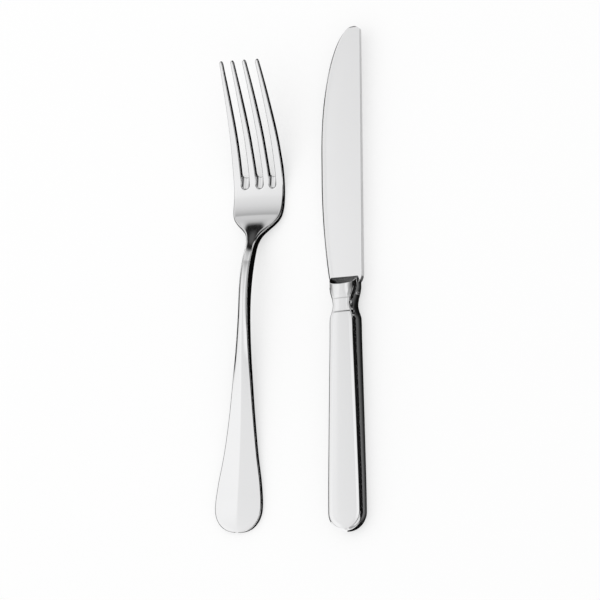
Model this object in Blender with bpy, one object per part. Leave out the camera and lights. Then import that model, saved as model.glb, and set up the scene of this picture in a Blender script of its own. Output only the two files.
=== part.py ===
"""Polished steel table fork and table knife, lying side by side on a flat top.

Metres, +Z up. The tips point along +Y, the fork is on the left and the knife on the
right. Each piece is one solid body, made from cross-sections that are bridged.
"""
import bpy
import bmesh
import numpy as np

MM = 0.001

# Fork sizes, millimetres
FORK_LENGTH = 212.8
FORK_END_ROUND = 11.0
HEAD_WIDTH = 26.0
TIP_RISE = 26.6
NECK_THICK = 4.1
RIM_SIDE = 1.3
RIM_DEPTH = 0.95
RIDGE = 0.16
FORK_YAW_DEG = -4.2
FORK_END_X = -57.7
FORK_END_Y = 4.1
TINE_COUNT = 4
TINE_TIP_PITCH = 6.15
TINE_ROOT_PITCH = 7.2
TINE_TIP_WIDTH = 1.5
TINE_ROOT_WIDTH = 3.45
TINE_TIP_ROUND = 1.6
SLOT_LENGTH = 54.4
SLOT_END_SHIFT = 3.3
TINE_LEAN = 0.85
MIDDLE_TINE_LEAN = 0.7
LEAN_LENGTH = 34.0
ROOT_LEAN = 0.7
ROOT_LEAN_LENGTH = 9.0

# Knife sizes, millimetres
HANDLE_LENGTH = 95.0
HANDLE_WIDTH = 17.9
HANDLE_END_ROUND = 8.0
BUTT_THICK = 6.2
SHOULDER_THICK = 9.0
SIDE_BOW = 0.2
STEEP_BEVEL = 0.95
SHALLOW_BEVEL = 1.55
BOLSTER_LENGTH = 15.7
BOLSTER_SLOPE = 4.4
KNIFE_LENGTH = 229.5
EDGE_THICK = 0.36
EDGE_BEVEL = 1.1
SPINE_THICK = 2.3
SPINE_CHAMFER = 0.6
SPINE_X = 9.0
BLADE_WIDTH = 20.7
HEEL_EASE = 3.3
HEEL_EASE_LENGTH = 45.0
BELLY_LENGTH = 57.0
TIP_SPINE_ROUND = 2.6
TIP_TOP_FROM_SPINE = 3.8

# How far the blade reaches into the bolster and stays inside it, millimetres
TANG_LENGTH = 6.0
TANG_INSET = 2.6

# Sizes that follow from the ones above
BOLSTER_END_Y = HANDLE_LENGTH + BOLSTER_LENGTH

# Fork half width along the length, as (share of the length, share of half the head's width)
FORK_OUTLINE = (
    (0.0000, 0.9308), (0.0564, 0.9308), (0.0963, 0.8654), (0.1598, 0.6808),
    (0.2406, 0.5038), (0.3266, 0.3615), (0.4112, 0.2462), (0.4629, 0.2015),
    (0.5263, 0.1862), (0.5968, 0.1808), (0.6203, 0.2115), (0.6363, 0.3308),
    (0.6494, 0.5462), (0.6617, 0.7692), (0.6739, 0.9231), (0.6898, 0.9885),
    (0.7162, 1.0000), (0.7636, 1.0000), (0.8163, 0.9731), (0.9023, 0.8846),
    (0.9643, 0.8192), (1.0000, 0.7731),
)

# Height of the middle surface over the table, as (share of the length, share of the rise)
FORK_PROFILE = (
    (0.0000, 0.0376), (0.0564, 0.0508), (0.1222, 0.0714), (0.1974, 0.1090),
    (0.2820, 0.1692), (0.3665, 0.2406), (0.4535, 0.3045), (0.5169, 0.3346),
    (0.5545, 0.3195), (0.5921, 0.2632), (0.6325, 0.1654), (0.6720, 0.0827),
    (0.7162, 0.0489), (0.7495, 0.0865), (0.7923, 0.1955), (0.8496, 0.3835),
    (0.9164, 0.6466), (1.0000, 1.0000),
)

# Thickness along the fork, as (share of the length, share of the neck's thickness)
FORK_BODY = (
    (0.0000, 0.4878), (0.2820, 0.5244), (0.3665, 0.6341), (0.4511, 0.7805),
    (0.5263, 0.9512), (0.5921, 1.0000), (0.6297, 0.8537), (0.6673, 0.6585),
    (0.7143, 0.5854), (0.7895, 0.5000), (0.9070, 0.4512), (1.0000, 0.3171),
)

# Rounded rim on the show face, as (share of the length, share of its side, share of its depth)
FORK_RIM = (
    (0.0000, 0.385, 0.421), (0.2820, 0.385, 0.474), (0.4229, 0.462, 0.737),
    (0.5263, 0.615, 1.000), (0.6015, 0.654, 1.000), (0.6391, 1.000, 0.842),
    (0.6767, 1.000, 0.632), (0.7143, 0.538, 0.526), (1.0000, 0.308, 0.421),
)

# Knife handle and bolster, as (share of the handle's length, share of half the butt's width,
# share of the full thickness)
KNIFE_HANDLE = (
    (0.0000, 1.0000, 1.000), (0.1263, 0.9944, 1.000), (0.4211, 0.9274, 1.000),
    (0.7368, 0.8380, 1.000), (0.9263, 0.7821, 1.000), (1.0000, 0.7654, 1.000),
    (1.0316, 0.6648, 0.950), (1.0716, 0.5810, 0.900), (1.1000, 0.6369, 0.930),
    (1.1316, 0.7542, 0.965), (1.1726, 0.8156, 0.975), (1.2105, 0.8268, 0.975),
)


def hermite(knots, where, column=1):
    """Smooth curve through the knots that never overshoots between two of them."""
    table = np.array([(row[0], row[column]) for row in knots], dtype=float)
    x = table[:, 0]
    y = table[:, 1]
    step = np.diff(x)
    rise = np.diff(y) / step
    slope = np.zeros_like(y)
    slope[1:-1] = (rise[:-1] * step[1:] + rise[1:] * step[:-1]) / (step[1:] + step[:-1])
    slope[1:-1][rise[:-1] * rise[1:] <= 0.0] = 0.0
    slope[0] = rise[0]
    slope[-1] = rise[-1]
    limit = 3.0 * np.minimum(np.abs(np.append(rise[0], rise)), np.abs(np.append(rise, rise[-1])))
    slope = np.clip(slope, -limit, limit)
    at = np.clip(np.asarray(where, dtype=float), x[0], x[-1])
    cell = np.clip(np.searchsorted(x, at, side="right") - 1, 0, len(step) - 1)
    t = (at - x[cell]) / step[cell]
    a = (2 * t ** 3 - 3 * t ** 2 + 1) * y[cell]
    b = (t ** 3 - 2 * t ** 2 + t) * step[cell] * slope[cell]
    c = (3 * t ** 2 - 2 * t ** 3) * y[cell + 1]
    d = (t ** 3 - t ** 2) * step[cell] * slope[cell + 1]
    return a + b + c + d


def clear_scene():
    for item in list(bpy.data.objects):
        bpy.data.objects.remove(item, do_unlink=True)


def steel(name, colour, roughness):
    material = bpy.data.materials.new(name)
    material.use_nodes = True
    shader = material.node_tree.nodes["Principled BSDF"]
    shader.inputs["Base Color"].default_value = (*colour, 1.0)
    shader.inputs["Metallic"].default_value = 1.0
    shader.inputs["Roughness"].default_value = roughness
    material.diffuse_color = (*colour, 1.0)
    return material


def bridge_rings(name, rings):
    """Body through closed rings of equal count, with both ends capped."""
    bm = bmesh.new()
    loops = []
    for ring in rings:
        verts = [bm.verts.new(point) for point in ring]
        edges = [bm.edges.new((verts[i], verts[(i + 1) % len(verts)])) for i in range(len(verts))]
        loops.append((verts, edges))
    for (_, lower), (_, upper) in zip(loops[:-1], loops[1:]):
        bmesh.ops.bridge_loops(bm, edges=lower + upper)
    bm.faces.new(loops[0][0])
    bm.faces.new(loops[-1][0])
    bmesh.ops.recalc_face_normals(bm, faces=bm.faces)
    mesh = bpy.data.meshes.new(name)
    bm.to_mesh(mesh)
    bm.free()
    item = bpy.data.objects.new(name, mesh)
    bpy.context.collection.objects.link(item)
    return item


def boolean_mesh(item, cutter, operation):
    """Mesh of item after an exact Boolean with cutter, which is then removed."""
    change = item.modifiers.new(operation.lower(), "BOOLEAN")
    change.operation = operation
    change.solver = "EXACT"
    change.object = cutter
    bpy.context.view_layer.update()
    graph = bpy.context.evaluated_depsgraph_get()
    mesh = bpy.data.meshes.new_from_object(item.evaluated_get(graph))
    item.modifiers.clear()
    item.data = mesh
    bpy.data.objects.remove(cutter, do_unlink=True)


def finish(item, material, angle):
    """One material, smooth shading and sharp edges over the given angle."""
    mesh = item.data
    mesh.materials.clear()
    mesh.materials.append(material)
    mesh.shade_smooth()
    mesh.set_sharp_from_angle(angle=np.radians(angle))


# Fork

def fork_half_width(y):
    end = np.clip(y / FORK_END_ROUND, 0.0, 1.0)
    round_end = (1.0 - (1.0 - end) ** 2) ** 0.4
    return 0.5 * HEAD_WIDTH * hermite(FORK_OUTLINE, y / FORK_LENGTH) * round_end


def fork_ring(y):
    """Closed section: gently ridged top, rounded rims, flat underside."""
    half = float(fork_half_width(y))
    along = y / FORK_LENGTH
    thick = NECK_THICK * float(hermite(FORK_BODY, along))
    end = min(y / (0.2 * NECK_THICK), 1.0)
    thick *= 0.5 + 0.5 * np.sqrt(1.0 - (1.0 - end) ** 2)
    side = min(RIM_SIDE * float(hermite(FORK_RIM, along, 1)), 0.42 * half)
    depth = min(RIM_DEPTH * float(hermite(FORK_RIM, along, 2)), 0.4 * thick)
    crown = RIDGE if along < 0.446 else 0.0
    up = 0.5 * thick
    flat = half - side
    arc = np.radians(45.0)
    right = [
        (0.0, up + crown),
        (0.5 * flat, up + 0.5 * crown),
        (flat, up),
        (flat + side * np.sin(arc), up - depth * (1.0 - np.cos(arc))),
        (half, up - depth),
        (half, -up + 0.6 * depth),
        (half - 0.6 * side, -up),
        (0.45 * half, -up),
    ]
    left = [(-x, n) for x, n in reversed(right[1:])]
    return [(x * MM, y * MM, n * MM) for x, n in right + [(0.0, -up)] + left]


def tine_centre(index, from_tip):
    share = np.clip(from_tip / SLOT_LENGTH, 0.0, 1.0)
    pitch = TINE_TIP_PITCH + (TINE_ROOT_PITCH - TINE_TIP_PITCH) * share ** 0.62
    return (index - 0.5 * (TINE_COUNT - 1)) * pitch


def tine_half(from_tip):
    share = np.clip(from_tip / SLOT_LENGTH, 0.0, 1.0)
    return 0.5 * (TINE_TIP_WIDTH + (TINE_ROOT_WIDTH - TINE_TIP_WIDTH) * share ** 0.8)


def comb_cutter():
    """Everything between and beyond the tines, with sloped round slot ends."""
    walls = SLOT_LENGTH * np.array((0.845, 0.743, 0.574, 0.405, 0.236, 0.101))
    tips = FORK_LENGTH - TINE_TIP_ROUND
    reach = 0.75 * NECK_THICK
    beside = 0.7 * HEAD_WIDTH
    beyond = FORK_LENGTH + 4.0 * TINE_TIP_ROUND
    upper = []
    lower = []

    def add(x, y, shift=0.0):
        upper.append((x, y - shift))
        lower.append((x, y + shift))

    add(-beside, beyond)
    add(-beside, tips)
    for index in range(TINE_COUNT):
        middle = tine_centre(index, 0.0)
        half = tine_half(TINE_TIP_ROUND)
        margin = 0.4 * TINE_TIP_WIDTH
        for step in range(7):
            angle = np.pi * (1.0 - step / 6.0)
            if index == 0 and step == 0:
                add(middle - half - margin, tips)
                continue
            if index == TINE_COUNT - 1 and step == 6:
                add(middle + half + margin, tips)
                continue
            add(middle + half * np.cos(angle), tips + 0.875 * TINE_TIP_ROUND * np.sin(angle))
        if index == TINE_COUNT - 1:
            continue
        for far in walls[::-1]:
            add(tine_centre(index, far) + tine_half(far), FORK_LENGTH - far)
        left = tine_centre(index, SLOT_LENGTH) + tine_half(SLOT_LENGTH)
        right = tine_centre(index + 1, SLOT_LENGTH) - tine_half(SLOT_LENGTH)
        radius = 0.5 * (right - left)
        for step in range(9):
            angle = np.pi * (1.0 + step / 8.0)
            x = 0.5 * (left + right) + radius * np.cos(angle)
            y = FORK_LENGTH - SLOT_LENGTH + radius * (1.0 + np.sin(angle))
            add(x, y, SLOT_END_SHIFT)
        for far in walls:
            add(tine_centre(index + 1, far) - tine_half(far), FORK_LENGTH - far)
    add(beside, tips)
    add(beside, beyond)
    rings = (
        [(x * MM, y * MM, -reach * MM) for x, y in lower],
        [(x * MM, y * MM, reach * MM) for x, y in upper],
    )
    cutter = bridge_rings("comb_cutter", rings)
    cutter.hide_render = True
    cutter.display_type = "WIRE"
    return cutter


def lean(x, y):
    """Sideways shift of the tines: to the left at the tips, to the right at the roots."""
    middle = np.cos(0.5 * np.pi * np.clip(x / (0.5 * HEAD_WIDTH), -1.0, 1.0)) ** 2
    tip = np.clip(1.0 - (FORK_LENGTH - y) / LEAN_LENGTH, 0.0, 1.0) ** 1.3
    from_root = (y - FORK_LENGTH + 0.95 * SLOT_LENGTH) / ROOT_LEAN_LENGTH
    root = np.exp(-0.5 * from_root ** 2)
    return ROOT_LEAN * middle * root - (TINE_LEAN + MIDDLE_TINE_LEAN * middle) * tip


def bend_fork(mesh):
    """Bends the flat body along its side profile and lays it at its place."""
    count = len(mesh.vertices)
    flat = np.empty(count * 3)
    mesh.vertices.foreach_get("co", flat)
    flat = flat.reshape(count, 3) / MM
    y = flat[:, 1]
    along = y / FORK_LENGTH
    small = 0.00025
    rise = hermite(FORK_PROFILE, along + small) - hermite(FORK_PROFILE, along - small)
    rise *= TIP_RISE / (2.0 * small * FORK_LENGTH)
    rise[along < small] = 0.0
    size = np.sqrt(1.0 + rise ** 2)
    bent = np.empty_like(flat)
    bent[:, 0] = flat[:, 0] + lean(flat[:, 0], y)
    bent[:, 1] = y - flat[:, 2] * rise / size
    bent[:, 2] = TIP_RISE * hermite(FORK_PROFILE, along) + flat[:, 2] / size
    bent[:, 2] -= bent[:, 2].min()
    turn = np.radians(FORK_YAW_DEG)
    placed = np.empty_like(bent)
    placed[:, 0] = FORK_END_X + bent[:, 0] * np.cos(turn) - bent[:, 1] * np.sin(turn)
    placed[:, 1] = FORK_END_Y + bent[:, 0] * np.sin(turn) + bent[:, 1] * np.cos(turn)
    placed[:, 2] = bent[:, 2]
    mesh.vertices.foreach_set("co", (placed * MM).ravel())
    mesh.update()


def make_fork():
    stations = np.concatenate((
        FORK_END_ROUND * (1.0 - np.cos(np.linspace(0.06, 0.5 * np.pi, 11))),
        FORK_LENGTH * np.linspace(0.0705, 0.5874, 23),
        FORK_LENGTH * np.linspace(0.6062, 0.6943, 16),
        FORK_LENGTH * np.linspace(0.7025, 0.9986, 22),
        (FORK_LENGTH + TINE_TIP_ROUND,),
    ))
    fork = bridge_rings("table_fork", [fork_ring(y) for y in stations])
    boolean_mesh(fork, comb_cutter(), "DIFFERENCE")
    bend_fork(fork.data)
    finish(fork, steel("fork_steel", (0.80, 0.80, 0.81), 0.08), 28.0)
    return fork


# Knife

def handle_middle(y):
    """Height of the knife's middle plane, so that the handle's back lies flat."""
    slope = 0.5 * (SHOULDER_THICK - BUTT_THICK) / HANDLE_LENGTH
    return 0.5 * BUTT_THICK + slope * y


def handle_ring(y):
    """Twelve-sided section: flat faces, shallow and steep bevels, bowed sides."""
    end = np.clip(y / HANDLE_END_ROUND, 0.0, 1.0)
    along = y / HANDLE_LENGTH
    half = 0.5 * HANDLE_WIDTH * float(hermite(KNIFE_HANDLE, along, 1)) * np.sqrt(1.0 - (1.0 - end) ** 2)
    up = handle_middle(y) * float(hermite(KNIFE_HANDLE, along, 2))
    soft = 0.225 * HANDLE_END_ROUND
    if y < soft:
        up *= 0.45 + 0.55 * np.sqrt(1.0 - (1.0 - y / soft) ** 2)
    narrow = min(half / (0.335 * HANDLE_WIDTH), 1.0)
    shallow = SHALLOW_BEVEL * narrow
    steep = STEEP_BEVEL * narrow
    bow = SIDE_BOW * narrow
    drop = 0.14 * up
    lower = 0.44 * up
    right = [
        (half - bow - steep - shallow, up),
        (half - bow - steep, up - drop),
        (half - bow, up - lower),
        (half, 0.0),
    ]
    right += [(x, -n) for x, n in reversed(right[:3])]
    left = [(-x, n) for x, n in reversed(right)]
    return right + left


def wedge_half(x, y):
    """Half the blade's thickness, thin at the edge and thick at the spine."""
    left = blade_left(y)
    share = np.clip((x - left) / (SPINE_X - left), 0.0, 1.0)
    far = np.clip((y - BOLSTER_END_Y) / (KNIFE_LENGTH - BOLSTER_END_Y), 0.0, 1.0)
    spine = SPINE_THICK * (1.0 - 0.35 * far)
    return 0.5 * (EDGE_THICK + (spine - EDGE_THICK) * share ** 0.8)


def blade_left(y):
    """Cutting edge: eased in at the base, straight, then a quarter ellipse."""
    full = SPINE_X - BLADE_WIDTH
    start = BOLSTER_END_Y + BOLSTER_SLOPE
    ease = np.clip(1.0 - (y - start) / HEEL_EASE_LENGTH, 0.0, 1.2)
    left = full + HEEL_EASE * ease ** 2
    near = np.clip(1.0 - (KNIFE_LENGTH - y) / BELLY_LENGTH, 0.0, 1.0)
    reach = BLADE_WIDTH - TIP_TOP_FROM_SPINE
    return left + reach * (1.0 - np.sqrt(1.0 - near ** 2))


def blade_right(y):
    near = np.clip(1.0 - (KNIFE_LENGTH - y) / TIP_SPINE_ROUND, 0.0, 1.0)
    return SPINE_X - TIP_TOP_FROM_SPINE * (1.0 - np.sqrt(1.0 - near ** 2))


def blade_ring(y):
    left = float(blade_left(y))
    right = float(blade_right(y))
    heel = BOLSTER_END_Y + BOLSTER_SLOPE
    if y < heel:
        share = np.clip((heel - y) / BOLSTER_SLOPE, 0.0, 1.0)
        ease = 1.0 - np.sqrt(1.0 - share ** 2)
        left += TANG_INSET * ease
        right -= TANG_INSET * ease
    width = right - left
    bevel = min(EDGE_BEVEL, 0.2 * width)
    chamfer = min(SPINE_CHAMFER, 0.12 * width)
    spine = float(wedge_half(right, y))
    edge = float(wedge_half(left + bevel, y))
    middle = 0.5 * (left + right)
    top = [
        (left, 0.5 * EDGE_THICK),
        (left + bevel, max(edge, 0.5 * EDGE_THICK)),
        (middle, float(wedge_half(middle, y))),
        (right - chamfer, spine),
        (right, 0.55 * spine),
    ]
    return top + [(x, -n) for x, n in reversed(top)]


def knife_point(x, y, n):
    return (x * MM, y * MM, (handle_middle(y) + n) * MM)


def make_knife():
    stations = np.concatenate((
        HANDLE_END_ROUND * (1.0 - np.cos(np.linspace(0.14, 0.5 * np.pi, 11))),
        HANDLE_LENGTH * np.linspace(0.168, 0.832, 8),
        HANDLE_LENGTH * np.array((0.926, 0.947, 0.968)),
        np.linspace(0.99 * HANDLE_LENGTH, BOLSTER_END_Y, 18),
    ))
    rings = [[knife_point(x, y, n) for x, n in handle_ring(y)] for y in stations]
    full = handle_ring(BOLSTER_END_Y)
    highest = max(n for _, n in full)
    for share in (0.14, 0.44, 0.7, 1.0):
        y = BOLSTER_END_Y + BOLSTER_SLOPE * share
        ring = []
        for x, n in full:
            limit = highest * (1.0 - share)
            if share == 1.0:
                limit = 0.9 * float(wedge_half(x, y))
            limit = max(limit, 0.9 * float(wedge_half(x, y)))
            ring.append(knife_point(x, y, float(np.clip(n, -limit, limit))))
        rings.append(ring)
    knife = bridge_rings("table_knife", rings)
    tip = 0.9999 * KNIFE_LENGTH
    heel = BOLSTER_END_Y + BOLSTER_SLOPE
    blade_y = np.concatenate((
        np.linspace(BOLSTER_END_Y - TANG_LENGTH, BOLSTER_END_Y, 3),
        BOLSTER_END_Y + BOLSTER_SLOPE * np.array((0.35, 0.65, 0.88, 1.0)),
        np.linspace(heel + 0.08 * BELLY_LENGTH, tip - 1.03 * BELLY_LENGTH, 8),
        tip - BELLY_LENGTH * (1.0 - np.sin(np.linspace(0.0, 0.5 * np.pi, 22))),
    ))
    blade = bridge_rings("blade", [[knife_point(x, y, n) for x, n in blade_ring(y)] for y in blade_y])
    boolean_mesh(knife, blade, "UNION")
    finish(knife, steel("knife_steel", (0.78, 0.78, 0.79), 0.14), 28.0)
    return knife


def centre_pair(items):
    """Moves the points of both pieces so that their common box stands on the origin."""
    points = []
    for item in items:
        flat = np.empty(len(item.data.vertices) * 3)
        item.data.vertices.foreach_get("co", flat)
        points.append(flat.reshape(-1, 3))
    every = np.concatenate(points)
    middle = 0.5 * (every.min(axis=0) + every.max(axis=0))
    middle[2] = every[:, 2].min()
    for item, cloud in zip(items, points):
        item.data.vertices.foreach_set("co", (cloud - middle).ravel())
        item.data.update()


def main():
    clear_scene()
    fork = make_fork()
    knife = make_knife()
    centre_pair((fork, knife))


main()
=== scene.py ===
"""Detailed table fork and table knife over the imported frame, with stage and camera.

A user sees every size as a Blender length. Inside the shape functions lengths are in
millimetres, and the finished points are turned into metres.
"""
from types import SimpleNamespace

import bmesh
import bpy
import numpy as np
from mathutils import Matrix, Vector


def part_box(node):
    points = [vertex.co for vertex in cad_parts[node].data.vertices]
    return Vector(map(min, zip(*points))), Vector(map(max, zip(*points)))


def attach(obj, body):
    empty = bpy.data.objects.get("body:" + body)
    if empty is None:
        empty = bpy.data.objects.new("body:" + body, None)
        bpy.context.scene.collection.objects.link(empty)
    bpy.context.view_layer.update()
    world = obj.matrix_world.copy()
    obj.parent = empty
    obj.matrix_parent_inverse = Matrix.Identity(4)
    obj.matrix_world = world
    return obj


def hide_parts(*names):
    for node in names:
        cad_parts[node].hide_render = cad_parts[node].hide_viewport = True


bl_info = {
    "name": "Table cutlery",
    "version": (1, 0, 0),
    "blender": (4, 5, 0),
    "location": "View3D > Sidebar > Cutlery",
    "description": "Makes a table fork and a table knife on a plain stage",
    "category": "Object",
}

MM = 0.001
JOIN_DISTANCE = 0.0000004

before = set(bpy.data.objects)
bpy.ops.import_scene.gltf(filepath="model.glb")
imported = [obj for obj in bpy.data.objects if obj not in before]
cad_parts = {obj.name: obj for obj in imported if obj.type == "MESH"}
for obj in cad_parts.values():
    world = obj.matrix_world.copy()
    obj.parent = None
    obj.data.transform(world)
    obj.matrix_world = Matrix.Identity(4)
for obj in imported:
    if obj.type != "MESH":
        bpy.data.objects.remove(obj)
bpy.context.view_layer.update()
KNIFE_RIGHT = round(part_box("table_knife")[1][0] / MM, 3)
KNIFE_SPINE = 9.0


# Curves and meshes shared by the operators

def smooth_curve(knots, spread=1.8):
    """Cubic Hermite curve through the knots, rounded with a Gaussian of that spread.

    The slope at a knot is the mean of its neighbours' slopes, and nought at a turning
    point. Past its ends the curve goes on straight. It is worked out once on fine steps,
    and the function that is given back reads between them.
    """
    step = 0.1
    past = 12.0
    x, y = np.array(knots, dtype=float).T
    run = np.diff(x)
    rise = np.diff(y) / run
    slope = np.empty_like(y)
    slope[1:-1] = (rise[:-1] * run[1:] + rise[1:] * run[:-1]) / (run[1:] + run[:-1])
    slope[1:-1][rise[:-1] * rise[1:] <= 0.0] = 0.0
    slope[0] = rise[0]
    slope[-1] = rise[-1]
    fine = np.arange(x[0] - past, x[-1] + past, step)
    at = np.clip(fine, x[0], x[-1])
    cell = np.clip(np.searchsorted(x, at, side="right") - 1, 0, len(run) - 1)
    t = (at - x[cell]) / run[cell]
    value = (2 * t ** 3 - 3 * t ** 2 + 1) * y[cell] + (3 * t ** 2 - 2 * t ** 3) * y[cell + 1]
    value += (t ** 3 - 2 * t ** 2 + t) * run[cell] * slope[cell]
    value += (t ** 3 - t ** 2) * run[cell] * slope[cell + 1]
    value += np.minimum(fine - x[0], 0.0) * slope[0]
    value += np.maximum(fine - x[-1], 0.0) * slope[-1]
    reach = np.arange(-4.0 * spread, 4.0 * spread + 0.5 * step, step)
    bell = np.exp(-0.5 * (reach / spread) ** 2)
    bell /= bell.sum()
    pad = len(reach) // 2
    wide = np.concatenate((
        value[0] + (value[1] - value[0]) * np.arange(-pad, 0),
        value,
        value[-1] + (value[-1] - value[-2]) * np.arange(1, len(reach) - pad),
    ))
    value = np.convolve(wide, bell, mode="valid")[:len(fine)]
    return lambda where: np.interp(where, fine, value)


def slope_of(curve, where, step):
    """Slope of a curve, from its values a step before and a step after each place."""
    return (curve(where + step) - curve(where - step)) / (2.0 * step)


def rise_at(y, start, run):
    """Smooth step from 0 to 1 that begins at start and takes the run's length."""
    t = np.clip((y - start) / run, 0.0, 1.0)
    return t * t * (3.0 - 2.0 * t)


def new_piece(name, points, faces, material):
    """Object of four-sided faces, with points that coincide joined and faces outward."""
    mesh = bpy.data.meshes.new(name)
    mesh.vertices.add(len(points))
    mesh.vertices.foreach_set("co", np.asarray(points, dtype=np.float32).ravel())
    mesh.loops.add(faces.size)
    mesh.loops.foreach_set("vertex_index", faces.ravel().astype(np.int32))
    mesh.polygons.add(len(faces))
    mesh.polygons.foreach_set("loop_start", np.arange(0, faces.size, 4, dtype=np.int32))
    mesh.update(calc_edges=True)
    bm = bmesh.new()
    bm.from_mesh(mesh)
    bmesh.ops.remove_doubles(bm, verts=bm.verts, dist=JOIN_DISTANCE)
    bmesh.ops.recalc_face_normals(bm, faces=bm.faces)
    bm.to_mesh(mesh)
    bm.free()
    mesh.shade_smooth()
    mesh.materials.append(material)
    item = bpy.data.objects.new(name, mesh)
    bpy.context.collection.objects.link(item)
    return item


def joining_faces(a, b, closed=True):
    """Faces between two lines of point numbers, which are rings if closed."""
    quads = np.stack((a, np.roll(a, -1), np.roll(b, -1), b), axis=1)
    return quads if closed else quads[:-1]


def grid_faces(rows, columns, start=0, closed=False):
    """Corner numbers of a grid of points, row after row, with closed rings if asked."""
    across = columns if closed else columns - 1
    row, column = np.meshgrid(np.arange(rows - 1), np.arange(across), indexing="ij")
    after = (column + 1) % columns
    a = start + row * columns + column
    b = start + row * columns + after
    c = start + (row + 1) * columns + after
    d = start + (row + 1) * columns + column
    return np.stack((a, b, c, d), axis=-1).reshape(-1, 4)


def set_input(node, name, value):
    node.inputs[name].default_value = value


def grey_noise(nodes, links, vector, scale, detail):
    """Noise node that follows the vector."""
    noise = nodes.new("ShaderNodeTexNoise")
    set_input(noise, "Scale", scale)
    set_input(noise, "Detail", detail)
    links.new(vector, noise.inputs["Vector"])
    return noise


def steel_material(name, colour, look):
    """Steel whose fine stretched marks, under larger clouds, change its roughness and bump."""
    material = bpy.data.materials.new(name)
    material.use_nodes = True
    nodes = material.node_tree.nodes
    links = material.node_tree.links
    shader = nodes["Principled BSDF"]
    set_input(shader, "Base Color", (*colour, 1.0))
    set_input(shader, "Metallic", 1.0)
    place = nodes.new("ShaderNodeTexCoord").outputs["Object"]
    stretch = nodes.new("ShaderNodeMapping")
    set_input(stretch, "Scale", look["marks"])
    links.new(place, stretch.inputs["Vector"])
    marks = grey_noise(nodes, links, stretch.outputs["Vector"], 1.0, 4.0)
    set_input(marks, "Roughness", 0.6)
    cloud = grey_noise(nodes, links, place, 45.0, 3.0)
    blend = nodes.new("ShaderNodeMath")
    blend.operation = "MULTIPLY"
    links.new(marks.outputs["Fac"], blend.inputs[0])
    links.new(cloud.outputs["Fac"], blend.inputs[1])
    rough = nodes.new("ShaderNodeMapRange")
    set_input(rough, "From Min", 0.1)
    set_input(rough, "From Max", 0.5)
    set_input(rough, "To Min", look["rough"][0])
    set_input(rough, "To Max", look["rough"][1])
    links.new(blend.outputs["Value"], rough.inputs["Value"])
    links.new(rough.outputs["Result"], shader.inputs["Roughness"])
    bump = nodes.new("ShaderNodeBump")
    set_input(bump, "Strength", look["bump"])
    set_input(bump, "Distance", 0.00002)
    links.new(marks.outputs["Fac"], bump.inputs["Height"])
    links.new(bump.outputs["Normal"], shader.inputs["Normal"])
    return material


FORK_MARKS = {"marks": (900.0, 160.0, 900.0), "rough": (0.05, 0.10), "bump": 0.05}
HANDLE_MARKS = {"marks": (900.0, 160.0, 900.0), "rough": (0.05, 0.11), "bump": 0.05}
BLADE_MARKS = {"marks": (110.0, 1700.0, 300.0), "rough": (0.15, 0.22), "bump": 0.05}


# Sizes and colours

def length(label, text, millimetres):
    return bpy.props.FloatProperty(
        name=label, description=text, default=millimetres * MM, precision=5, unit="LENGTH")


def share(label, text, value):
    return bpy.props.FloatProperty(
        name=label, description=text, default=value, subtype="FACTOR", min=0.0, max=1.0)


def angle(label, text, degrees):
    return bpy.props.FloatProperty(
        name=label, description=text, default=float(np.radians(degrees)), subtype="ANGLE")


def tint(label, text, value):
    return bpy.props.FloatVectorProperty(
        name=label, description=text, default=value, subtype="COLOR", size=3, min=0.0, max=1.0)


def in_mm(group):
    """A group's values by name, with its lengths in millimetres."""
    values = {}
    for item in group.bl_rna.properties:
        if item.type != "FLOAT":
            continue
        value = getattr(group, item.identifier)
        if item.unit == "LENGTH":
            value = round(value / MM, 4)
        values[item.identifier] = value
    return SimpleNamespace(**values)


class ForkSizes(bpy.types.PropertyGroup):
    """Sizes of the fork, and its colour."""
    long: length("Length", "Handle end to tips, along the table", 212.1)
    end_round: length("End round", "Length of the handle's rounded end", 11.0)
    end_half: length("End half width", "Half of the widest part of the handle", 12.07)
    slot: length("Slot length", "Tips to the bottom of the slots", 54.7)
    slot_slope: length("Slot end slope", "How far each slot end slopes through the metal", 5.2)
    tip_pitch: length("Pitch at tips", "Middle to middle of two tines at the tips", 6.15)
    root_pitch: length("Pitch at roots", "Middle to middle of two tines at the roots", 7.2)
    tip_width: length("Tine width at tips", "Width of one tine at its tip", 1.5)
    root_width: length("Tine width at roots", "Width of one tine at its root", 3.45)
    neck_rise: length("Neck rise", "Height of the neck's rounded top", 0.3)
    shoulder_fall: length("Shoulder fall", "How far the shoulders lie below the neck", 1.1)
    neck_fall: length("Neck fall", "How far the neck falls to its left side", 0.36)
    lean: length("Lean", "Shift of the tips to the left", 0.85)
    lean_length: length("Lean length", "How far down from the tips the lean reaches", 34.0)
    middle_lean: length("Middle lean", "Further shift of the middle tips", 0.7)
    root_lean: length("Root lean", "Shift of the middle tines' roots to the right", 0.7)
    ridge: length("Ridge", "Height of the handle's soft middle ridge", 0.32)
    turn: angle("Turn", "Turn of the fork on the table", -4.2)
    place_x: length("Place X", "Handle end across the set", -27.713)
    place_y: length("Place Y", "Handle end along the set", -110.678)
    colour: tint("Steel", "Colour of the fork's steel", (0.95, 0.95, 0.955))


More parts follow.
